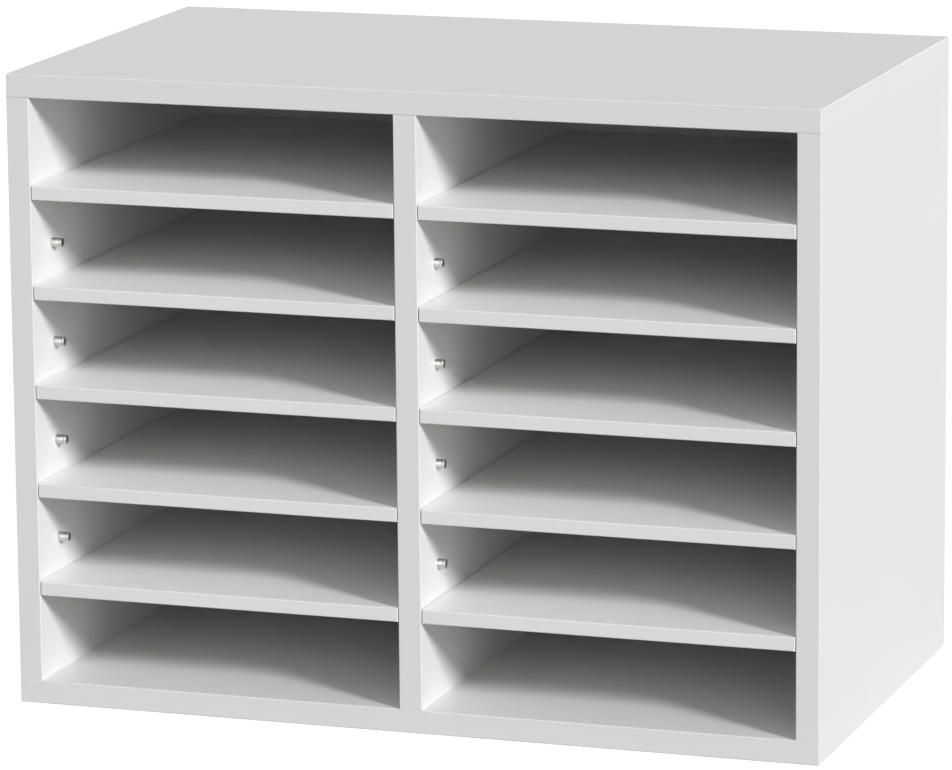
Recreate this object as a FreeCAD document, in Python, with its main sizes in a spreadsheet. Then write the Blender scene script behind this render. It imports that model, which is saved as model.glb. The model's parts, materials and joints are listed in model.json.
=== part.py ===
import FreeCAD, Part
import os
import re

import Sketcher

# A desktop case of white board with two columns of pigeonholes. Its shelves lie on metal pins and slide out
# to the front. Millimetres, +Z up, the front towards -Y, the origin under the middle of the case.

# Rows of pin holes up each upright, and the rows from one shelf to the next. The lowest row carries a shelf.
PIN_ROWS = 9
ROWS_PER_SHELF = 2
SHELF_ROWS = range(0, PIN_ROWS, ROWS_PER_SHELF)

# Nails that hold the back panel to the divider, one above the other.
BACK_NAILS = 4

# How near a point has to lie to a plane to be on it.
TOLERANCE = 1e-4

SIZES = {
    # Case
    "case_width": 530,
    "case_depth": 311,             # front band to rear edges
    "case_height": 407,
    "board_thickness": 15,         # top, bottom, sides and divider
    "lowest_row": 55.5,            # bottom panel to the middle of the lowest pins
    "row_pitch": 32,               # from one row of pins to the next
    # Edge bands
    "band_thickness": 1,
    "band_rounding": 0.6,
    # Back panel and its groove
    "back_thickness": 3,
    "back_inset": 8,               # rear edges to the back panel
    "groove_depth": 6,
    "groove_play": 0.2,            # groove wider than the back panel
    "groove_end_gap": 0.5,         # back panel to the bottom of its groove
    # Shelves
    "shelf_thickness": 9,
    "shelf_side_gap": 0.5,         # at each end
    "shelf_back_gap": 2,
    "shelf_seat_gap": 0.05,        # above the pins
    "rebate_depth": 2.5,           # cut under the shelf's ends, where the pins run
    "rebate_width": 10,
    "rebate_corner": 3,
    "rebate_stop_gap": 0.2,        # end of the rebate to the front pin
    # Shelf pins
    "pin_diameter": 6,
    "pin_chamfer": 0.5,
    "pin_play": 0.1,               # hole wider than the pin
    "side_pin_reach": 7.3,         # stands out of a side panel
    "side_pin_seat": 9,            # held in a side panel
    "divider_pin_reach": 5.7,      # stands out of the divider on each side
    "front_pin_setback": 33,       # front of the case to the front pins
    "rear_pin_setback": 43,        # rear pins to the back panel
    # Dowels between the uprights and the top panel
    "dowel_diameter": 8,
    "dowel_chamfer": 1,
    "dowel_play": 0.1,
    "dowel_in_top": 10,
    "dowel_in_upright": 20,
    "dowel_end_gap": 0.5,
    "joint_setback": 45,           # dowels and screws, from the front and the rear edges
    # Cam bolt, screwed up into the top panel
    "cam_setback": 24,             # top of an upright to the middle of its cam
    "cam_offset": 50,              # cams and their bolts, behind the middle of the case
    "bolt_thread_diameter": 6,
    "bolt_thread_length": 11,
    "bolt_shank_diameter": 7,
    "bolt_neck_diameter": 4,
    "bolt_head_diameter": 6.6,
    "bolt_head_length": 3.5,
    "bolt_play": 0.1,
    "bolt_bore_play": 1,           # bore in the upright wider than the shank
    # Cam lock in the upright
    "cam_diameter": 14.9,
    "cam_length": 12.3,
    "cam_play": 0.1,
    "cam_slot_play": 1,
    "cam_cross_length": 8,
    "cam_cross_width": 1.4,
    "cam_cross_depth": 3,
    # Connecting screws through the bottom panel
    "screw_diameter": 7,
    "screw_length": 48,
    "screw_head_diameter": 10,
    "screw_recess": 0.3,           # head below the underside
    "screw_play": 0.1,
    "screw_point": 2,
    "screw_socket_width": 4,
    "screw_socket_depth": 4,
    # Nails through the back panel
    "nail_diameter": 1.6,
    "nail_length": 22,
    "nail_point": 2.5,
    "nail_head_diameter": 3.6,
    "nail_head_thickness": 0.7,
    "nail_play": 0.1,
    "nail_end_space": 50,          # top and bottom nails to the bottom and top panels
}

# Sizes that follow from the ones above.
COLUMN_WIDTH = "((case_width - 3 * board_thickness) / 2)"
INSIDE_HEIGHT = "(case_height - 2 * board_thickness)"
UNDER_TOP = "(case_height - board_thickness)"
UPRIGHT_PITCH = f"({COLUMN_WIDTH} + board_thickness)"
BOARD_DEPTH = "(case_depth - band_thickness)"
FRONT = "(-case_depth / 2)"
CORE_FRONT = f"({FRONT} + band_thickness)"
REAR = "(case_depth / 2)"
BACK_FACE = f"({REAR} - back_inset - back_thickness)"
BACK_OVERLAP = "(groove_depth - groove_end_gap)"
PIN_RADIUS = "(pin_diameter / 2)"
FRONT_PINS = f"({FRONT} + front_pin_setback)"
REAR_PINS = f"({BACK_FACE} - rear_pin_setback)"
JOINT_SPAN = "(case_depth - 2 * joint_setback)"
SHELF_WIDTH = f"({COLUMN_WIDTH} - 2 * shelf_side_gap)"
SHELF_CORE_DEPTH = f"({BACK_FACE} - {CORE_FRONT} - shelf_back_gap)"

document = FreeCAD.newDocument("LiteratureOrganizer")
pieces = []


# Write the sizes into the sheet, a name beside each one.
def make_sheet():
    sheet = document.addObject("Spreadsheet::Sheet", "Sizes")
    for row, (name, value) in enumerate(SIZES.items(), start=1):
        sheet.set(f"A{row}", name)
        sheet.set(f"B{row}", str(value))
        sheet.setAlias(f"B{row}", name)
    document.recompute()


# Bind a property to a formula of size names.
def bind(thing, path, formula):
    words = r"[a-z]+(?:_[a-z]+)+"
    thing.setExpression(path, re.sub(words, lambda word: "Sizes." + word.group(), formula))


def new_body(label, place, half_turn=False):
    body = document.addObject("PartDesign::Body", "Body")
    body.Label = label
    if half_turn:
        body.Placement.Rotation = FreeCAD.Rotation(FreeCAD.Vector(0, 0, 1), 180)
    for axis, formula in zip("xyz", place):
        bind(body, f"Placement.Base.{axis}", formula)
    pieces.append(body)
    return body


def origin_feature(body, role):
    return next(feature for feature in body.Origin.OriginFeatures if feature.Role == role)


def new_sketch(body, name, role, offset="0"):
    sketch = body.newObject("Sketcher::SketchObject", name)
    sketch.AttachmentSupport = [(origin_feature(body, role), "")]
    sketch.MapMode = "FlatFace"
    bind(sketch, "AttachmentOffset.Base.z", offset)
    return sketch


# Hold one point of a sketch at a distance from the origin along its own axes.
def hold_point(sketch, geometry, end, across, up):
    for kind, axis, formula in (("DistanceX", -2, across), ("DistanceY", -1, up)):
        if formula == "0":
            sketch.addConstraint(Sketcher.Constraint("PointOnObject", geometry, end, axis))
        else:
            index = sketch.addConstraint(Sketcher.Constraint(kind, -1, 1, geometry, end, 1.0))
            sketch.renameConstraint(index, f"{kind[-1]}{geometry}_{end}")
            bind(sketch, f"Constraints.{kind[-1]}{geometry}_{end}", formula)


# Draw a closed outline through points that are each held by two sizes.
def outline(sketch, points):
    first = sketch.GeometryCount
    count = len(points)
    for index in range(count):
        start = FreeCAD.Vector(index + 1, (index % 2) + 1, 0)
        end = FreeCAD.Vector((index + 1) % count + 1, ((index + 1) % 2) + 1, 0)
        sketch.addGeometry(Part.LineSegment(start, end))
    for index in range(count):
        following = first + (index + 1) % count
        sketch.addConstraint(Sketcher.Constraint("Coincident", first + index, 2, following, 1))
    for index, (across, up) in enumerate(points):
        hold_point(sketch, first + index, 1, across, up)


# Draw an upright rectangle from two of its corners.
def rectangle(sketch, low, high):
    first = sketch.GeometryCount
    corners = [FreeCAD.Vector(x, y, 0) for x, y in ((1, 1), (2, 1), (2, 2), (1, 2))]
    for index in range(4):
        sketch.addGeometry(Part.LineSegment(corners[index], corners[(index + 1) % 4]))
    for index in range(4):
        following = first + (index + 1) % 4
        sketch.addConstraint(Sketcher.Constraint("Coincident", first + index, 2, following, 1))
        direction = "Horizontal" if index % 2 == 0 else "Vertical"
        sketch.addConstraint(Sketcher.Constraint(direction, first + index))
    hold_point(sketch, first, 1, *low)
    hold_point(sketch, first + 2, 1, *high)


def circle(sketch, across, up, diameter):
    index = sketch.addGeometry(Part.Circle(FreeCAD.Vector(1, 1, 0), FreeCAD.Vector(0, 0, 1), 1))
    wide = sketch.addConstraint(Sketcher.Constraint("Diameter", index, 2.0))
    sketch.renameConstraint(wide, f"Diameter{index}")
    bind(sketch, f"Constraints.Diameter{index}", diameter)
    hold_point(sketch, index, 3, across, up)


def pad(body, sketch, length):
    feature = body.newObject("PartDesign::Pad", "Pad")
    feature.Profile = sketch
    bind(feature, "Length", length)
    sketch.Visibility = False
    document.recompute()
    return feature


# Cut a sketch into the body, backwards from its plane's normal unless forwards is set.
def pocket(body, sketch, depth, forwards=False):
    volume = body.Shape.Volume
    feature = body.newObject("PartDesign::Pocket", "Pocket")
    feature.Profile = sketch
    feature.Reversed = forwards
    bind(feature, "Length", depth)
    sketch.Visibility = False
    document.recompute()
    if not body.Shape.Volume < volume:
        raise RuntimeError(f"{body.Label}: {sketch.Label} cuts nothing")
    return feature


# Turn a half section about one of its sketch's axes.
def revolve(body, sketch, axis):
    feature = body.newObject("PartDesign::Revolution", "Revolution")
    feature.Profile = sketch
    feature.ReferenceAxis = (sketch, [axis])
    feature.Angle = 360
    sketch.Visibility = False
    document.recompute()
    return feature


# Repeat features along one axis, or along two, each direction a role, a length and a count.
def repeat(body, features, directions):
    feature = body.newObject("PartDesign::LinearPattern", "Pattern")
    feature.Originals = features
    for suffix, (role, length, count) in zip(("", "2"), directions):
        setattr(feature, "Direction" + suffix, (origin_feature(body, role), [""]))
        setattr(feature, "Occurrences" + suffix, count)
        bind(feature, "Length" + suffix, length)
    body.Tip = feature
    document.recompute()
    return feature


# Name the edges that lie in both faces of each pair of the shape's box.
def box_edges(shape, pairs):
    box = shape.BoundBox
    faces = {
        "left": (0, box.XMin), "right": (0, box.XMax),
        "front": (1, box.YMin), "rear": (1, box.YMax),
        "bottom": (2, box.ZMin), "top": (2, box.ZMax),
    }
    names = []
    for number, edge in enumerate(shape.Edges, start=1):
        ends = [vertex.Point for vertex in edge.Vertexes]
        for pair in pairs:
            planes = [faces[word] for word in pair]
            if all(abs(end[axis] - place) < TOLERANCE for end in ends for axis, place in planes):
                names.append(f"Edge{number}")
    return names


def fillet(body, base, names, radius):
    feature = body.newObject("PartDesign::Fillet", "Fillet")
    feature.Base = (base, names)
    bind(feature, "Radius", radius)
    document.recompute()
    return feature


# A board lying or standing square, from its own corner.
def slab(label, place, size):
    body = new_body(label, place)
    sketch = new_sketch(body, "Outline", "XY_Plane")
    rectangle(sketch, ("0", "0"), (size[0], size[1]))
    return body, pad(body, sketch, size[2])


# The groove that holds the back panel, along a board's inner face.
def cut_back_groove(body, role, inner, forwards, length):
    near = f"{BACK_FACE} - {CORE_FRONT} - groove_play / 2"
    far = f"{near} + back_thickness + groove_play"
    sketch = new_sketch(body, "BackGroove", role, inner)
    if role == "XY_Plane":
        rectangle(sketch, ("0", near), (length, far))
    else:
        rectangle(sketch, (near, "0"), (far, length))
    pocket(body, sketch, "groove_depth", forwards)


# Front and rear places of the dowels and screws, from the front of a board's core.
def joint_rows():
    front = "joint_setback - band_thickness"
    return front, f"{front} + {JOINT_SPAN}"


# The top panel, with its dowel and cam bolt holes in the underside.
def make_top_panel():
    place = ("-case_width / 2 + band_thickness", CORE_FRONT, UNDER_TOP)
    length = "case_width - 2 * band_thickness"
    body, _ = slab("top_panel", place, (length, BOARD_DEPTH, "board_thickness"))
    cut_back_groove(body, "XY_Plane", "0", True, length)
    first_upright = "board_thickness / 2 - band_thickness"
    dowels = new_sketch(body, "DowelHoles", "XY_Plane")
    for row in joint_rows():
        circle(dowels, first_upright, row, "dowel_diameter + dowel_play")
    dowel_holes = pocket(body, dowels, "dowel_in_top + dowel_end_gap", True)
    bolt = new_sketch(body, "BoltHole", "XY_Plane")
    circle(bolt, first_upright, f"cam_offset - {CORE_FRONT}", "bolt_thread_diameter + bolt_play")
    bolt_hole = pocket(body, bolt, "bolt_thread_length + dowel_end_gap", True)
    repeat(body, [dowel_holes, bolt_hole], [("X_Axis", f"2 * {UPRIGHT_PITCH}", 3)])


# The bottom panel, with countersunk holes for the screws from below.
def make_bottom_panel():
    place = ("-case_width / 2 + band_thickness", CORE_FRONT, "0")
    length = "case_width - 2 * band_thickness"
    body, _ = slab("bottom_panel", place, (length, BOARD_DEPTH, "board_thickness"))
    cut_back_groove(body, "XY_Plane", "board_thickness", False, length)
    across = "board_thickness / 2 - band_thickness"
    holes = new_sketch(body, "ScrewHoles", "XY_Plane")
    for row in joint_rows():
        circle(holes, across, row, "screw_diameter + screw_play")
    screw_holes = pocket(body, holes, "board_thickness", True)
    row_of_holes = repeat(body, [screw_holes], [("X_Axis", f"2 * {UPRIGHT_PITCH}", 3)])
    rims = []
    for number, edge in enumerate(body.Shape.Edges, start=1):
        if edge.Closed and abs(edge.CenterOfMass.z) < TOLERANCE:
            rims.append(f"Edge{number}")
    countersink = body.newObject("PartDesign::Chamfer", "Countersink")
    countersink.Base = (row_of_holes, rims)
    bind(countersink, "Size", "(screw_head_diameter - screw_diameter) / 2 + screw_recess")
    document.recompute()


# Dowel, bolt and screw holes in an upright's ends, and the pocket for its cam lock.
def drill_upright_joints(body, cam_face, cam_forwards):
    middle = "board_thickness / 2"
    top = new_sketch(body, "DowelHoles", "XY_Plane", INSIDE_HEIGHT)
    for row in joint_rows():
        circle(top, middle, row, "dowel_diameter + dowel_play")
    pocket(body, top, "dowel_in_upright + dowel_end_gap")
    bore = new_sketch(body, "BoltBore", "XY_Plane", INSIDE_HEIGHT)
    circle(bore, middle, f"cam_offset - {CORE_FRONT}", "bolt_shank_diameter + bolt_bore_play")
    pocket(body, bore, "cam_setback")
    cam = new_sketch(body, "CamPocket", "YZ_Plane", cam_face)
    circle(cam, f"cam_offset - {CORE_FRONT}", f"{INSIDE_HEIGHT} - cam_setback", "cam_diameter + cam_play")
    pocket(body, cam, "cam_length + cam_play", cam_forwards)
    bottom = new_sketch(body, "ScrewHoles", "XY_Plane")
    for row in joint_rows():
        circle(bottom, middle, row, "screw_diameter + screw_play")
    pocket(body, bottom, "screw_recess + screw_length - board_thickness + dowel_end_gap", True)


# Two columns of shelf pin holes in an upright.
def drill_pin_rows(body, face, forwards, depth):
    sketch = new_sketch(body, "PinHoles", "YZ_Plane", face)
    for row in (FRONT_PINS, REAR_PINS):
        circle(sketch, f"{row} - {CORE_FRONT}", "lowest_row", "pin_diameter + pin_play")
    holes = pocket(body, sketch, depth, forwards)
    repeat(body, [holes], [("Z_Axis", f"{PIN_ROWS - 1} * row_pitch", PIN_ROWS)])


# A side panel. Its inner face looks to +X on the left one and to -X on the right one.
def make_side_panel(label, left, on_left):
    size = ("board_thickness", BOARD_DEPTH, INSIDE_HEIGHT)
    body, _ = slab(label, (left, CORE_FRONT, "board_thickness"), size)
    inner = "board_thickness" if on_left else "0"
    cut_back_groove(body, "YZ_Plane", inner, not on_left, INSIDE_HEIGHT)
    drill_upright_joints(body, inner, not on_left)
    drill_pin_rows(body, inner, not on_left, "side_pin_seat")


# The divider, which ends against the back panel. Its pins pass right through it.
def make_divider():
    depth = f"{BACK_FACE} - {CORE_FRONT}"
    place = ("-board_thickness / 2", CORE_FRONT, "board_thickness")
    body, _ = slab("centre_divider", place, ("board_thickness", depth, INSIDE_HEIGHT))
    drill_upright_joints(body, "0", True)
    drill_pin_rows(body, "0", True, "board_thickness")
    nails = new_sketch(body, "NailHoles", "XZ_Plane", f"-({depth})")
    circle(nails, "board_thickness / 2", "nail_end_space", "nail_diameter + nail_play")
    holes = pocket(body, nails, "nail_length - back_thickness + nail_play", True)
    repeat(body, [holes], [("Z_Axis", f"{INSIDE_HEIGHT} - 2 * nail_end_space", BACK_NAILS)])


# The back panel, standing in the groove all round.
def make_back_panel():
    width = f"(case_width - 2 * board_thickness + 2 * {BACK_OVERLAP})"
    height = f"{INSIDE_HEIGHT} + 2 * {BACK_OVERLAP}"
    place = (f"-{width} / 2", BACK_FACE, f"board_thickness - {BACK_OVERLAP}")
    body, _ = slab("back_panel", place, (width, "back_thickness", height))
    nails = new_sketch(body, "NailHoles", "XZ_Plane")
    circle(nails, f"{width} / 2", f"nail_end_space + {BACK_OVERLAP}", "nail_diameter + nail_play")
    holes = pocket(body, nails, "back_thickness")
    repeat(body, [holes], [("Z_Axis", f"{INSIDE_HEIGHT} - 2 * nail_end_space", BACK_NAILS)])


# A strip of edge band, rounded along the edges that are named by their two faces.
def make_band(label, place, size, rounded):
    body, strip = slab(label, place, size)
    fillet(body, strip, box_edges(strip.Shape, rounded), "band_rounding")


# The bands on the front and the ends of the case's boards.
def make_case_bands():
    left = "-case_width / 2"
    right = "case_width / 2"
    lying = ("case_width", "band_thickness", "board_thickness")
    upright = ("board_thickness", "band_thickness", INSIDE_HEIGHT)
    long_edges = [("front", "top"), ("front", "bottom"), ("front", "left"), ("front", "right")]
    upright_edges = [("front", "left"), ("front", "right")]
    make_band("top_front_band", (left, FRONT, UNDER_TOP), lying, long_edges)
    make_band("bottom_front_band", (left, FRONT, "0"), lying, long_edges)
    uprights = {
        "left_side_front_band": left,
        "right_side_front_band": f"{right} - board_thickness",
        "divider_front_band": "-board_thickness / 2",
    }
    for label, start in uprights.items():
        make_band(label, (start, FRONT, "board_thickness"), upright, upright_edges)
    end = ("band_thickness", BOARD_DEPTH, "board_thickness")
    inner_right = f"{right} - band_thickness"
    make_band("top_left_end_band", (left, CORE_FRONT, UNDER_TOP), end, [("left", "top")])
    make_band("top_right_end_band", (inner_right, CORE_FRONT, UNDER_TOP), end, [("right", "top")])
    make_band("bottom_left_end_band", (left, CORE_FRONT, "0"), end, [("left", "bottom")])
    make_band("bottom_right_end_band", (inner_right, CORE_FRONT, "0"), end, [("right", "bottom")])


# A shelf with a stopped rebate under each end. The pins run in it, and its front end stops the shelf
# flush with the case.
def make_shelf(label, left, row):
    bottom = (f"board_thickness + lowest_row + {row} * row_pitch"
              f" + {PIN_RADIUS} + shelf_seat_gap - rebate_depth")
    body, board = slab(label, (left, CORE_FRONT, bottom), (SHELF_WIDTH, SHELF_CORE_DEPTH, "shelf_thickness"))
    stop = f"{FRONT_PINS} - {PIN_RADIUS} - rebate_stop_gap - {CORE_FRONT}"
    sketch = new_sketch(body, "Rebates", "XY_Plane")
    rectangle(sketch, ("0", stop), ("rebate_width", SHELF_CORE_DEPTH))
    rectangle(sketch, (f"{SHELF_WIDTH} - rebate_width", stop), (SHELF_WIDTH, SHELF_CORE_DEPTH))
    rebates = pocket(body, sketch, "rebate_depth", True)
    box = board.Shape.BoundBox
    corners = []
    for number, edge in enumerate(rebates.Shape.Edges, start=1):
        upright = abs(edge.Vertexes[0].Z - edge.Vertexes[-1].Z) > TOLERANCE
        inside = box.XMin + TOLERANCE < edge.CenterOfMass.x < box.XMax - TOLERANCE
        if upright and inside and edge.CenterOfMass.y < box.YMax - TOLERANCE:
            corners.append(f"Edge{number}")
    fillet(body, rebates, corners, "rebate_corner")
    rounded = [("front", "top"), ("front", "bottom"), ("front", "left"), ("front", "right")]
    strip = (SHELF_WIDTH, "band_thickness", "shelf_thickness")
    make_band(f"{label}_band", (left, FRONT, bottom), strip, rounded)


def make_shelves():
    columns = {
        "left": f"-{UPRIGHT_PITCH} + board_thickness / 2 + shelf_side_gap",
        "right": "board_thickness / 2 + shelf_side_gap",
    }
    for side, left in columns.items():
        for number, row in enumerate(reversed(SHELF_ROWS), start=1):
            make_shelf(f"{side}_shelf_{number}", left, row)


# Two columns of shelf pins along X, front and rear, with a small chamfer at both ends.
def make_pins(label, left, length):
    body = new_body(label, (left, FRONT_PINS, "board_thickness + lowest_row"))
    sketch = new_sketch(body, "HalfSection", "XY_Plane")
    outline(sketch, [
        ("0", "0"),
        (length, "0"),
        (length, f"{PIN_RADIUS} - pin_chamfer"),
        (f"{length} - pin_chamfer", PIN_RADIUS),
        ("pin_chamfer", PIN_RADIUS),
        ("0", f"{PIN_RADIUS} - pin_chamfer"),
    ])
    pin = revolve(body, sketch, "H_Axis")
    repeat(body, [pin], [
        ("Y_Axis", f"{REAR_PINS} - {FRONT_PINS}", 2),
        ("Z_Axis", f"{PIN_ROWS - 1} * row_pitch", PIN_ROWS),
    ])


def make_shelf_pins():
    side_pin = "(side_pin_seat + side_pin_reach)"
    make_pins("left_side_pins", "-case_width / 2 + board_thickness - side_pin_seat", side_pin)
    make_pins("right_side_pins", "case_width / 2 - board_thickness - side_pin_reach", side_pin)
    through_pin = "(board_thickness + 2 * divider_pin_reach)"
    make_pins("divider_pins", "-board_thickness / 2 - divider_pin_reach", through_pin)


# Wooden dowels, front and rear in each upright.
def make_dowels():
    radius = "dowel_diameter / 2"
    length = "(dowel_in_upright + dowel_in_top)"
    place = (f"-{UPRIGHT_PITCH}", f"{FRONT} + joint_setback", f"{UNDER_TOP} - dowel_in_upright")
    body = new_body("wooden_dowels", place)
    sketch = new_sketch(body, "HalfSection", "XZ_Plane")
    outline(sketch, [
        ("0", "0"),
        (f"{radius} - dowel_chamfer", "0"),
        (radius, "dowel_chamfer"),
        (radius, f"{length} - dowel_chamfer"),
        (f"{radius} - dowel_chamfer", length),
        ("0", length),
    ])
    dowel = revolve(body, sketch, "V_Axis")
    repeat(body, [dowel], [("X_Axis", f"2 * {UPRIGHT_PITCH}", 3), ("Y_Axis", JOINT_SPAN, 2)])


# Cam bolts, each with its head in the middle of a cam lock and its thread in the top panel.
def make_cam_bolts():
    body = new_body("cam_bolts", (f"-{UPRIGHT_PITCH}", "cam_offset", f"{UNDER_TOP} - cam_setback"))
    head = "bolt_head_diameter / 2"
    neck = "bolt_neck_diameter / 2"
    shank = "bolt_shank_diameter / 2"
    thread = "bolt_thread_diameter / 2"
    rim = "(cam_diameter / 2 + cam_play)"
    top = "(cam_setback + bolt_thread_length)"
    sketch = new_sketch(body, "HalfSection", "XZ_Plane")
    outline(sketch, [
        ("0", "-bolt_head_length"),
        (head, "-bolt_head_length"),
        (head, "0"),
        (neck, "0"),
        (neck, rim),
        (shank, rim),
        (shank, "cam_setback"),
        (thread, "cam_setback"),
        (thread, f"{top} - {thread}"),
        ("0", top),
    ])
    bolt = revolve(body, sketch, "V_Axis")
    repeat(body, [bolt], [("X_Axis", f"2 * {UPRIGHT_PITCH}", 3)])


# A cam lock lying along +X from the upright's face, turned so that it holds the bolt's head.
def make_cam_lock(label, face, half_turn):
    body = new_body(label, (face, "cam_offset", f"{UNDER_TOP} - cam_setback"), half_turn)
    disc = new_sketch(body, "Disc", "YZ_Plane")
    circle(disc, "0", "0", "cam_diameter")
    pad(body, disc, "cam_length")
    neck = new_sketch(body, "NeckSlot", "XY_Plane")
    circle(neck, "board_thickness / 2", "0", "bolt_neck_diameter + cam_slot_play")
    pocket(body, neck, "cam_diameter", True)
    head = new_sketch(body, "HeadEntry", "XY_Plane", "cam_play")
    circle(head, "board_thickness / 2", "0", "bolt_head_diameter + cam_slot_play")
    pocket(body, head, "cam_diameter")
    cross = new_sketch(body, "DriverCross", "YZ_Plane")
    half_length = "cam_cross_length / 2"
    half_width = "cam_cross_width / 2"
    outline(cross, [
        (f"-{half_width}", f"-{half_length}"), (half_width, f"-{half_length}"),
        (half_width, f"-{half_width}"), (half_length, f"-{half_width}"),
        (half_length, half_width), (half_width, half_width),
        (half_width, half_length), (f"-{half_width}", half_length),
        (f"-{half_width}", half_width), (f"-{half_length}", half_width),
        (f"-{half_length}", f"-{half_width}"), (f"-{half_width}", f"-{half_width}"),
    ])
    pocket(body, cross, "cam_cross_depth", True)


def make_cam_locks():
    side_face = "case_width / 2 - board_thickness"
    make_cam_lock("left_cam_lock", f"-({side_face})", True)
    make_cam_lock("centre_cam_lock", "-board_thickness / 2", False)
    make_cam_lock("right_cam_lock", side_face, False)


# Countersunk screws with a hexagon socket, up through the bottom panel into the uprights.
def make_connecting_screws():
    body = new_body("connecting_screws", (f"-{UPRIGHT_PITCH}", f"{FRONT} + joint_setback", "screw_recess"))
    head = "screw_head_diameter / 2"
    shank = "screw_diameter / 2"
    sketch = new_sketch(body, "HalfSection", "XZ_Plane")
    outline(sketch, [
        ("0", "0"),
        (head, "0"),
        (shank, f"{head} - {shank}"),
        (shank, "screw_length - screw_point"),
        (f"{shank} - screw_point / 2", "screw_length"),
        ("0", "screw_length"),
    ])
    screw = revolve(body, sketch, "V_Axis")
    socket = new_sketch(body, "Socket", "XY_Plane")
    flat = "screw_socket_width / 2"
    corner = "screw_socket_width / sqrt(3)"
    outline(socket, [
        (corner, "0"), (f"{corner} / 2", flat), (f"-{corner} / 2", flat),
        (f"-{corner}", "0"), (f"-{corner} / 2", f"-{flat}"), (f"{corner} / 2", f"-{flat}"),
    ])
    recess = pocket(body, socket, "screw_socket_depth", True)
    repeat(body, [screw, recess], [("X_Axis", f"2 * {UPRIGHT_PITCH}", 3), ("Y_Axis", JOINT_SPAN, 2)])


# Nails through the back panel, their heads on its rear face.
def make_back_nails():
    place = ("0", f"{BACK_FACE} + back_thickness", "board_thickness + nail_end_space")
    body = new_body("back_nails", place)
    head = "nail_head_diameter / 2"
    shank = "nail_diameter / 2"
    sketch = new_sketch(body, "HalfSection", "XY_Plane")
    outline(sketch, [
        ("0", "nail_head_thickness"),
        ("0", "-nail_length"),
        (shank, "nail_point - nail_length"),
        (shank, "0"),
        (head, "0"),
        (head, "nail_head_thickness"),
    ])
    nail = revolve(body, sketch, "V_Axis")
    repeat(body, [nail], [("Z_Axis", f"{INSIDE_HEIGHT} - 2 * nail_end_space", BACK_NAILS)])


# Stop unless every feature and every piece came out whole.
def check_pieces():
    for thing in document.Objects:
        if {"Invalid", "Error"} & set(thing.State):
            raise RuntimeError(f"{thing.Label} failed: {thing.State}")
    for piece in pieces:
        shape = piece.Shape
        if shape.isNull() or not shape.isValid() or not shape.Solids:
            raise RuntimeError(f"{piece.Label} has no valid shape")


def write_pieces():
    os.makedirs("parts", exist_ok=True)
    for piece in pieces:
        piece.Shape.exportStep(f"parts/{piece.Label}.step")
        print(f"{piece.Label}: {len(piece.Shape.Solids)} solid(s), {piece.Shape.Volume:.0f} mm3")


make_sheet()
make_top_panel()
make_bottom_panel()
make_side_panel("left_side_panel", "-case_width / 2", True)
make_side_panel("right_side_panel", "case_width / 2 - board_thickness", False)
make_divider()
make_back_panel()
make_case_bands()
make_shelves()
make_shelf_pins()
make_dowels()
make_cam_bolts()
make_cam_locks()
make_connecting_screws()
make_back_nails()
document.recompute()
check_pieces()
write_pieces()
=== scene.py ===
import json
import math

import bmesh
import bpy
from mathutils import Euler, Matrix, Vector


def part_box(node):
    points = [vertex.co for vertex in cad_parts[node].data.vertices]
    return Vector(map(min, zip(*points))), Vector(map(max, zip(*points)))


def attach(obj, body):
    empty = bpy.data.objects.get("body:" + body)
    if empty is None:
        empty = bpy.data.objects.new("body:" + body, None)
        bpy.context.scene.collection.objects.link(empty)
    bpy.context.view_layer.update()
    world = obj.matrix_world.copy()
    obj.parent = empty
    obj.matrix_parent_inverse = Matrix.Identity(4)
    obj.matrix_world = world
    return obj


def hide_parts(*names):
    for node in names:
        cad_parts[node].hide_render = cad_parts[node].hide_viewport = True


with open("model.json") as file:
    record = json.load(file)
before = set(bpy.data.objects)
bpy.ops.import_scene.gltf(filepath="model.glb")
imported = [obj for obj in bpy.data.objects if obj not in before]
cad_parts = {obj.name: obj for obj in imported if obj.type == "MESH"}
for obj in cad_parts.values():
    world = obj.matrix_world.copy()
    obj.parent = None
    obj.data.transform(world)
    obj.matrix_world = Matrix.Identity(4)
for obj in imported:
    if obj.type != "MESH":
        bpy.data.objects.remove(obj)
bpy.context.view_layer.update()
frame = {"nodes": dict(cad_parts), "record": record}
scene = bpy.context.scene
cadNodes = frame["nodes"]


# Small helpers for node trees. Distances and pattern scales are per metre, on Object coordinates.
def newFinish(name, color, metallic=0.0):
    finish = bpy.data.materials.new(name)
    finish.use_nodes = True
    shader = finish.node_tree.nodes["Principled BSDF"]
    shader.inputs["Base Color"].default_value = (*color, 1.0)
    shader.inputs["Metallic"].default_value = metallic
    return finish, finish.node_tree, shader


def wire(tree, node, inputs):
    for key, value in inputs.items():
        if isinstance(value, bpy.types.NodeSocket):
            tree.links.new(value, node.inputs[key])
        else:
            node.inputs[key].default_value = value
    return node


def objectCoords(tree):
    return tree.nodes.new("ShaderNodeTexCoord").outputs["Object"]


def stretch(tree, coords, scale):
    mapping = wire(tree, tree.nodes.new("ShaderNodeMapping"), {"Vector": coords, "Scale": scale})
    return mapping.outputs["Vector"]


def noise(tree, coords, scale, detail=2.0):
    texture = tree.nodes.new("ShaderNodeTexNoise")
    wire(tree, texture, {"Vector": coords, "Scale": scale, "Detail": detail})
    return texture.outputs["Fac"]


def cells(tree, coords, scale):
    texture = tree.nodes.new("ShaderNodeTexVoronoi")
    wire(tree, texture, {"Vector": coords, "Scale": scale})
    return texture


def calc(tree, operation, first, second=0.0):
    node = tree.nodes.new("ShaderNodeMath")
    node.operation = operation
    return wire(tree, node, {0: first, 1: second}).outputs[0]


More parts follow.
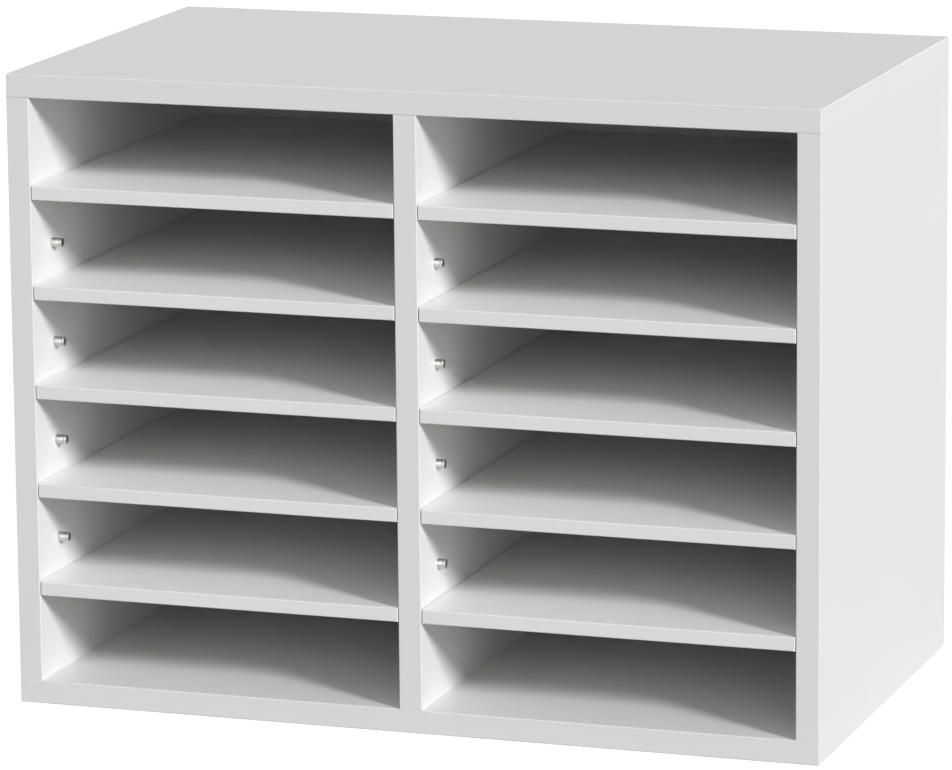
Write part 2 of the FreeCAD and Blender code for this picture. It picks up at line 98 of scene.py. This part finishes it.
def remap(tree, value, fromRange, toLow, toHigh):
    node = tree.nodes.new("ShaderNodeMapRange")
    wire(tree, node, {"Value": value, "From Min": fromRange[0], "From Max": fromRange[1]})
    wire(tree, node, {"To Min": toLow, "To Max": toHigh})
    return node.outputs["Result"]


# Spreads a noise, which mostly runs from 0.3 to 0.7, over the given range.
def spread(tree, value, toLow=0.0, toHigh=1.0):
    return remap(tree, value, (0.3, 0.7), toLow, toHigh)


def blendColor(tree, factor, first, second):
    node = tree.nodes.new("ShaderNodeMix")
    node.data_type = "RGBA"
    for key, value in ((6, first), (7, second)):
        if isinstance(value, bpy.types.NodeSocket):
            tree.links.new(value, node.inputs[key])
        else:
            node.inputs[key].default_value = (*value, 1.0)
    tree.links.new(factor, node.inputs["Factor"])
    return node.outputs[2]


def blendValue(tree, factor, first, second):
    node = tree.nodes.new("ShaderNodeMix")
    return wire(tree, node, {"Factor": factor, 2: first, 3: second}).outputs[0]


def relief(tree, height, depth):
    bump = tree.nodes.new("ShaderNodeBump")
    wire(tree, bump, {"Height": height, "Distance": depth, "Strength": 1.0})
    return bump.outputs["Normal"]


# White melamine film on particle board, with the raw chips showing where rawMask gives 1.
whiteBoard = {
    "caseColor": (0.84, 0.84, 0.84),
    # the shelves' lighter white is partly a real difference and partly painted light that brightens the
    # lit compartment floors
    "shelfColor": (0.92, 0.92, 0.92),
    "drift": 0.008,            # how far the tone wanders over a board
    "driftScale": 7.0,
    "roughness": (0.48, 0.53),
    "specular": 0.25,
    "peelScale": 700.0,        # fine orange peel pressed into the film
    "peelDepth": 0.000012,
    "filmReach": 0.0002,       # the film and its edge, at a shelf's two faces
    "rearReach": 0.00002,
}
rawChips = {
    "dark": (0.34, 0.225, 0.12),
    "light": (0.70, 0.53, 0.33),
    "glue": (0.25, 0.155, 0.08),
    "chipScale": 620.0,
    "chipStretch": (0.5, 1.0, 0.8),
    "paler": 0.1,
    "gapRange": (0.45, 0.8),   # distances from a chip's middle between which the glue comes in
    "gapShade": 0.6,
    "gapDepth": 12.0,          # in peel depths
    "dustScale": 1900.0,
    "dustRange": (0.35, 0.75),
    "dustShare": 0.5,
    "roughness": 0.85,
}


def rawCore(tree, coords):
    chips = cells(tree, stretch(tree, coords, rawChips["chipStretch"]), rawChips["chipScale"])
    shade = calc(tree, "ADD", chips.outputs["Color"], rawChips["paler"])
    tone = blendColor(tree, shade, rawChips["dark"], rawChips["light"])
    gaps = remap(tree, chips.outputs["Distance"], rawChips["gapRange"], 0.0, rawChips["gapShade"])
    core = blendColor(tree, gaps, tone, rawChips["glue"])
    dust = noise(tree, coords, rawChips["dustScale"], 3.0)
    dustShare = remap(tree, dust, rawChips["dustRange"], 0.0, rawChips["dustShare"])
    return blendColor(tree, dustShare, core, rawChips["light"]), gaps


def boardFinish(name, color, rawMask):
    finish, tree, shader = newFinish(name, color)
    coords = objectCoords(tree)
    drift = noise(tree, coords, whiteBoard["driftScale"])
    low = tuple(c - whiteBoard["drift"] for c in color)
    high = tuple(c + whiteBoard["drift"] for c in color)
    face = blendColor(tree, spread(tree, drift), low, high)
    faceRoughness = spread(tree, drift, *whiteBoard["roughness"])
    peel = noise(tree, coords, whiteBoard["peelScale"], 1.0)
    core, gaps = rawCore(tree, coords)
    raw = rawMask(tree, coords)
    height = blendValue(tree, raw, peel, calc(tree, "MULTIPLY", gaps, -rawChips["gapDepth"]))
    wire(tree, shader, {
        "Base Color": blendColor(tree, raw, face, core),
        "Roughness": blendValue(tree, raw, faceRoughness, rawChips["roughness"]),
        "Normal": relief(tree, height, whiteBoard["peelDepth"]),
        "Specular IOR Level": whiteBoard["specular"],
    })
    return finish


def axisOf(tree, coords, axis):
    split = wire(tree, tree.nodes.new("ShaderNodeSeparateXYZ"), {"Vector": coords})
    return split.outputs[axis]


# The case's boards are left raw along their rear edges.
def rearEdgeMask(tree, coords):
    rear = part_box("top_panel")[1].y
    return calc(tree, "GREATER_THAN", axisOf(tree, coords, "Y"), rear - whiteBoard["rearReach"])


# A shelf is raw between its two faces: at its ends, along its rear edge and in its rebates.
def shelfCoreMask(tree, coords):
    low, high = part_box("left_shelf_5")
    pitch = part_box("left_shelf_4")[0].z - low.z
    margin = 0.001             # starts each turn of the height a little under the shelf
    film = whiteBoard["filmReach"]
    height = calc(tree, "SUBTRACT", axisOf(tree, coords, "Z"), low.z - margin)
    height = calc(tree, "MODULO", height, pitch)
    above = calc(tree, "GREATER_THAN", height, margin + film)
    below = calc(tree, "LESS_THAN", height, margin + high.z - low.z - film)
    return calc(tree, "MULTIPLY", above, below)


# Plastic edge band: a plain satin strip with faint drawing marks.
edgeBand = {
    "caseColor": (0.84, 0.84, 0.84),
    "shelfColor": (0.88, 0.88, 0.88),
    "drift": 0.008,            # as a share of the colour
    "driftScale": 12.0,
    "roughness": (0.42, 0.48),
    "specular": 0.25,
    "markScale": 260.0,
    "markDepth": 0.000006,
}


def bandFinish(name, color):
    finish, tree, shader = newFinish(name, color)
    coords = objectCoords(tree)
    drift = noise(tree, coords, edgeBand["driftScale"])
    low = tuple(c * (1 - edgeBand["drift"]) for c in color)
    high = tuple(c * (1 + edgeBand["drift"]) for c in color)
    marks = noise(tree, coords, edgeBand["markScale"])
    wire(tree, shader, {
        "Base Color": blendColor(tree, spread(tree, drift), low, high),
        "Roughness": spread(tree, marks, *edgeBand["roughness"]),
        "Normal": relief(tree, marks, edgeBand["markDepth"]),
        "Specular IOR Level": edgeBand["specular"],
    })
    return finish


# Back panel: lacquer over hardboard, with the fibres just showing through. Its mid grey is painted
# shade, darker than a white inside face, for the shade at the backs of the compartments.
backSheet = {
    # painted shade: a mid grey in place of the white inside face
    "color": (0.60, 0.60, 0.595),
    "drift": (0.98, 1.015),    # darkest and lightest, as shares of the colour
    "driftScale": 9.0,
    "roughness": (0.54, 0.63),
    "specular": 0.3,
    "fibreScale": 420.0,
    "fibreStretch": (1.0, 1.0, 0.25),
    "fibreDepth": 0.00003,
}


def backFinish():
    finish, tree, shader = newFinish("backSheetPaintedShade", backSheet["color"])
    coords = objectCoords(tree)
    fibres = noise(tree, stretch(tree, coords, backSheet["fibreStretch"]), backSheet["fibreScale"], 3.0)
    drift = noise(tree, coords, backSheet["driftScale"])
    low, high = [tuple(c * share for c in backSheet["color"]) for share in backSheet["drift"]]
    wire(tree, shader, {
        "Base Color": blendColor(tree, spread(tree, drift), low, high),
        "Roughness": spread(tree, fibres, *backSheet["roughness"]),
        "Normal": relief(tree, fibres, backSheet["fibreDepth"]),
        "Specular IOR Level": backSheet["specular"],
    })
    return finish


# Metals: turned marks round the X axis for the pins, a cast or plated skin for the rest.
metals = {
    "pin_nickel": {
        "color": (0.60, 0.60, 0.59),
        "roughness": (0.33, 0.44),
        "markScale": (1800.0, 60.0, 60.0),
        "markDepth": 0.000008,
    },
    "cam_zinc": {
        "color": (0.50, 0.51, 0.53),
        "roughness": (0.41, 0.52),
        "markScale": (900.0, 900.0, 900.0),
        "markDepth": 0.00003,
    },
    "screw_steel": {
        "color": (0.56, 0.56, 0.57),
        "roughness": (0.25, 0.36),
        "markScale": (500.0, 500.0, 1600.0),
        "markDepth": 0.00001,
    },
}
metalDrift = (0.93, 1.06)      # darkest and lightest, as shares of the colour


def metalFinish(name, look):
    finish, tree, shader = newFinish(name + "Metal", look["color"], 1.0)
    marks = noise(tree, stretch(tree, objectCoords(tree), look["markScale"]), 1.0, 3.0)
    low, high = [tuple(c * share for c in look["color"]) for share in metalDrift]
    wire(tree, shader, {
        "Base Color": blendColor(tree, spread(tree, marks), low, high),
        "Roughness": spread(tree, marks, *look["roughness"]),
        "Normal": relief(tree, marks, look["markDepth"]),
    })
    return finish


# Beech dowels, with the grain along their length.
beech = {
    "light": (0.64, 0.46, 0.28),
    "dark": (0.44, 0.28, 0.15),
    "grainScale": (900.0, 900.0, 60.0),
    "grainRange": (0.35, 0.7),
    "grainDepth": 0.00006,
    "roughness": (0.55, 0.70),
}


def beechFinish():
    finish, tree, shader = newFinish("beechWood", beech["light"])
    grain = noise(tree, stretch(tree, objectCoords(tree), beech["grainScale"]), 1.0, 4.0)
    darkness = remap(tree, grain, beech["grainRange"], 0.0, 1.0)
    wire(tree, shader, {
        "Base Color": blendColor(tree, darkness, beech["light"], beech["dark"]),
        "Roughness": spread(tree, grain, *beech["roughness"]),
        "Normal": relief(tree, grain, beech["grainDepth"]),
    })
    return finish


finishes = {
    "case_board": boardFinish("caseBoardWhite", whiteBoard["caseColor"], rearEdgeMask),
    "shelf_board": boardFinish("shelfBoardWhite", whiteBoard["shelfColor"], shelfCoreMask),
    "case_edge_band": bandFinish("caseBandWhite", edgeBand["caseColor"]),
    "shelf_edge_band": bandFinish("shelfBandWhite", edgeBand["shelfColor"]),
    "back_sheet": backFinish(),
    "dowel_beech": beechFinish(),
}
for slotName, look in metals.items():
    finishes[slotName] = metalFinish(slotName, look)

for part in frame["record"]["subparts"]:
    node = cadNodes[part["node"]]
    finish = finishes[part["material_slot"]]
    if not node.material_slots:
        node.data.materials.append(finish)
    for materialSlot in node.material_slots:
        materialSlot.material = finish
print("finishes:", len(finishes))


# Shelf pins: turned rods with rounded ends and a fine groove near each end.
shelfPin = {
    "radius": 0.003,
    "rounding": 0.0007,
    "roundingSteps": 4,
    "grooveFromEnd": 0.0017,
    "grooveWidth": 0.0006,
    "grooveDepth": 0.0003,
    "turnSteps": 40,
    "rows": 9,
    "mergeReach": 0.000001,
    "flatEnd": 0.95,           # faces turned this far towards the pin's axis stay flat
}


# Points of a pin's half section, from one end to the other, as distance along it and radius.
def pinOutline(length):
    radius = shelfPin["radius"]
    rounding = shelfPin["rounding"]
    groove = shelfPin["grooveFromEnd"]
    halfWidth = shelfPin["grooveWidth"] / 2
    end = [(0.0, 0.0)]
    for step in range(shelfPin["roundingSteps"] + 1):
        angle = math.pi / 2 * step / shelfPin["roundingSteps"]
        end.append((rounding * (1 - math.cos(angle)), radius - rounding * (1 - math.sin(angle))))
    end.append((groove - halfWidth, radius))
    end.append((groove, radius - shelfPin["grooveDepth"]))
    end.append((groove + halfWidth, radius))
    return end + [(length - along, out) for along, out in reversed(end)]


def turnPin(mesh, start, length):
    points = [mesh.verts.new(start + Vector((along, 0.0, out))) for along, out in pinOutline(length)]
    edges = [mesh.edges.new(pair) for pair in zip(points, points[1:])]
    bmesh.ops.spin(
        mesh, geom=points + edges, cent=start, axis=(1.0, 0.0, 0.0), dvec=(0.0, 0.0, 0.0),
        angle=2 * math.pi, steps=shelfPin["turnSteps"], use_merge=True,
    )


def addShelfPins(nodeName):
    low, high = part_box(nodeName)
    radius = shelfPin["radius"]
    rowGap = (high.z - low.z - 2 * radius) / (shelfPin["rows"] - 1)
    mesh = bmesh.new()
    for depth in (low.y + radius, high.y - radius):
        for row in range(shelfPin["rows"]):
            turnPin(mesh, Vector((low.x, depth, low.z + radius + row * rowGap)), high.x - low.x)
    bmesh.ops.remove_doubles(mesh, verts=mesh.verts, dist=shelfPin["mergeReach"])
    bmesh.ops.recalc_face_normals(mesh, faces=mesh.faces)
    for face in mesh.faces:
        face.smooth = abs(face.normal.x) < shelfPin["flatEnd"]
    data = bpy.data.meshes.new(nodeName + "Turned")
    mesh.to_mesh(data)
    mesh.free()
    data.materials.append(finishes["pin_nickel"])
    pins = bpy.data.objects.new(nodeName + "Turned", data)
    scene.collection.objects.link(pins)
    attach(pins, "case")
    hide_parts(nodeName)


for nodeName in ("left_side_pins", "right_side_pins", "divider_pins"):
    addShelfPins(nodeName)
print("pins: turned")


# Floor and surroundings. The camera and the metals see plain white, and the floor keeps a faint shadow.
studio = {
    "floorSize": 16.0,
    "floorDrop": 0.0002,         # keeps the floor and the case's underside apart
    "floorColor": 0.30,          # what the floor gives back to the object
    "floorGlow": 0.90,           # the floor as the camera sees it, before its own light
    "floorShadowShare": 0.30,
    "skyLevel": 0.23,
}


def grey(level):
    return (level, level, level, 1.0)


def matte(tree, level):
    return wire(tree, tree.nodes.new("ShaderNodeBsdfDiffuse"), {"Color": grey(level)})


def seenDirectly(tree):
    path = tree.nodes.new("ShaderNodeLightPath")
    seen = calc(tree, "MAXIMUM", path.outputs["Is Camera Ray"], path.outputs["Is Glossy Ray"])
    return calc(tree, "MAXIMUM", seen, path.outputs["Is Transmission Ray"])


def buildFloor():
    mesh = bmesh.new()
    place = Matrix.Translation((0.0, 0.0, -studio["floorDrop"]))
    bmesh.ops.create_grid(mesh, x_segments=1, y_segments=1, size=studio["floorSize"] / 2, matrix=place)
    data = bpy.data.meshes.new("studioFloor")
    mesh.to_mesh(data)
    mesh.free()
    floor = bpy.data.objects.new("studioFloor", data)
    scene.collection.objects.link(floor)
    finish = bpy.data.materials.new("studioFloorPale")
    finish.use_nodes = True
    tree = finish.node_tree
    tree.nodes.clear()
    plain = matte(tree, studio["floorColor"])
    shaded = matte(tree, studio["floorShadowShare"])
    glow = wire(tree, tree.nodes.new("ShaderNodeEmission"), {"Strength": studio["floorGlow"]})
    white = tree.nodes.new("ShaderNodeAddShader")
    tree.links.new(glow.outputs[0], white.inputs[0])
    tree.links.new(shaded.outputs[0], white.inputs[1])
    choice = wire(tree, tree.nodes.new("ShaderNodeMixShader"), {0: seenDirectly(tree)})
    tree.links.new(plain.outputs[0], choice.inputs[1])
    tree.links.new(white.outputs[0], choice.inputs[2])
    wire(tree, tree.nodes.new("ShaderNodeOutputMaterial"), {"Surface": choice.outputs[0]})
    data.materials.append(finish)


def buildWorld():
    world = bpy.data.worlds.new("studioWorld")
    world.use_nodes = True
    tree = world.node_tree
    tree.nodes.clear()
    lighting = wire(tree, tree.nodes.new("ShaderNodeBackground"), {"Strength": studio["skyLevel"]})
    white = wire(tree, tree.nodes.new("ShaderNodeBackground"), {"Strength": 1.0})
    for background in (lighting, white):
        background.inputs["Color"].default_value = grey(1.0)
    choice = wire(tree, tree.nodes.new("ShaderNodeMixShader"), {0: seenDirectly(tree)})
    tree.links.new(lighting.outputs[0], choice.inputs[1])
    tree.links.new(white.outputs[0], choice.inputs[2])
    wire(tree, tree.nodes.new("ShaderNodeOutputWorld"), {"Surface": choice.outputs[0]})
    scene.world = world


# Lamps: a key from the front right, two broad fills from the front, and two low ones that reach only the
# rear and the left side.
lamps = {
    "keyLamp": {"travel": (-0.79, 0.465, -0.40), "strength": 2.55, "softness": 11.0},
    "frontLamp": {"travel": (0.0, 0.66, -0.75), "strength": 0.37, "softness": 70.0},
    "lowLamp": {"travel": (-0.35, 0.91, -0.20), "strength": 0.36, "softness": 40.0},
    "rearLamp": {"travel": (0.0, -1.0, -0.03), "strength": 1.2, "softness": 6.0},
    "leftLamp": {"travel": (1.0, 0.0, -0.03), "strength": 0.9, "softness": 6.0},
}
lampDistance = 4.0


def addLamp(name, plan):
    light = bpy.data.lights.new(name, "SUN")
    light.energy = plan["strength"]
    light.angle = math.radians(plan["softness"])
    lamp = bpy.data.objects.new(name, light)
    lamp.rotation_euler = Vector(plan["travel"]).to_track_quat("-Z", "Y").to_euler()
    lamp.location = Vector(plan["travel"]) * -lampDistance
    scene.collection.objects.link(lamp)


buildFloor()
buildWorld()
for lampName, plan in lamps.items():
    addLamp(lampName, plan)
scene.view_settings.view_transform = "Standard"
print("studio: floor, world and", len(lamps), "lamps")


# Camera, at the photograph's viewing angle.
cameraPlan = {
    "place": (1.1746, -3.4683, 0.9564),
    "turn": (78.2061, 0.4955, 18.7235),
    "lens": 219.22,
    "sensor": 36.0,
}
cameraData = bpy.data.cameras.new("mainCamera")
cameraData.lens = cameraPlan["lens"]
cameraData.sensor_width = cameraPlan["sensor"]
camera = bpy.data.objects.new("mainCamera", cameraData)
camera.location = cameraPlan["place"]
camera.rotation_euler = Euler([math.radians(angle) for angle in cameraPlan["turn"]])
scene.collection.objects.link(camera)
scene.camera = camera
print("camera: ready")
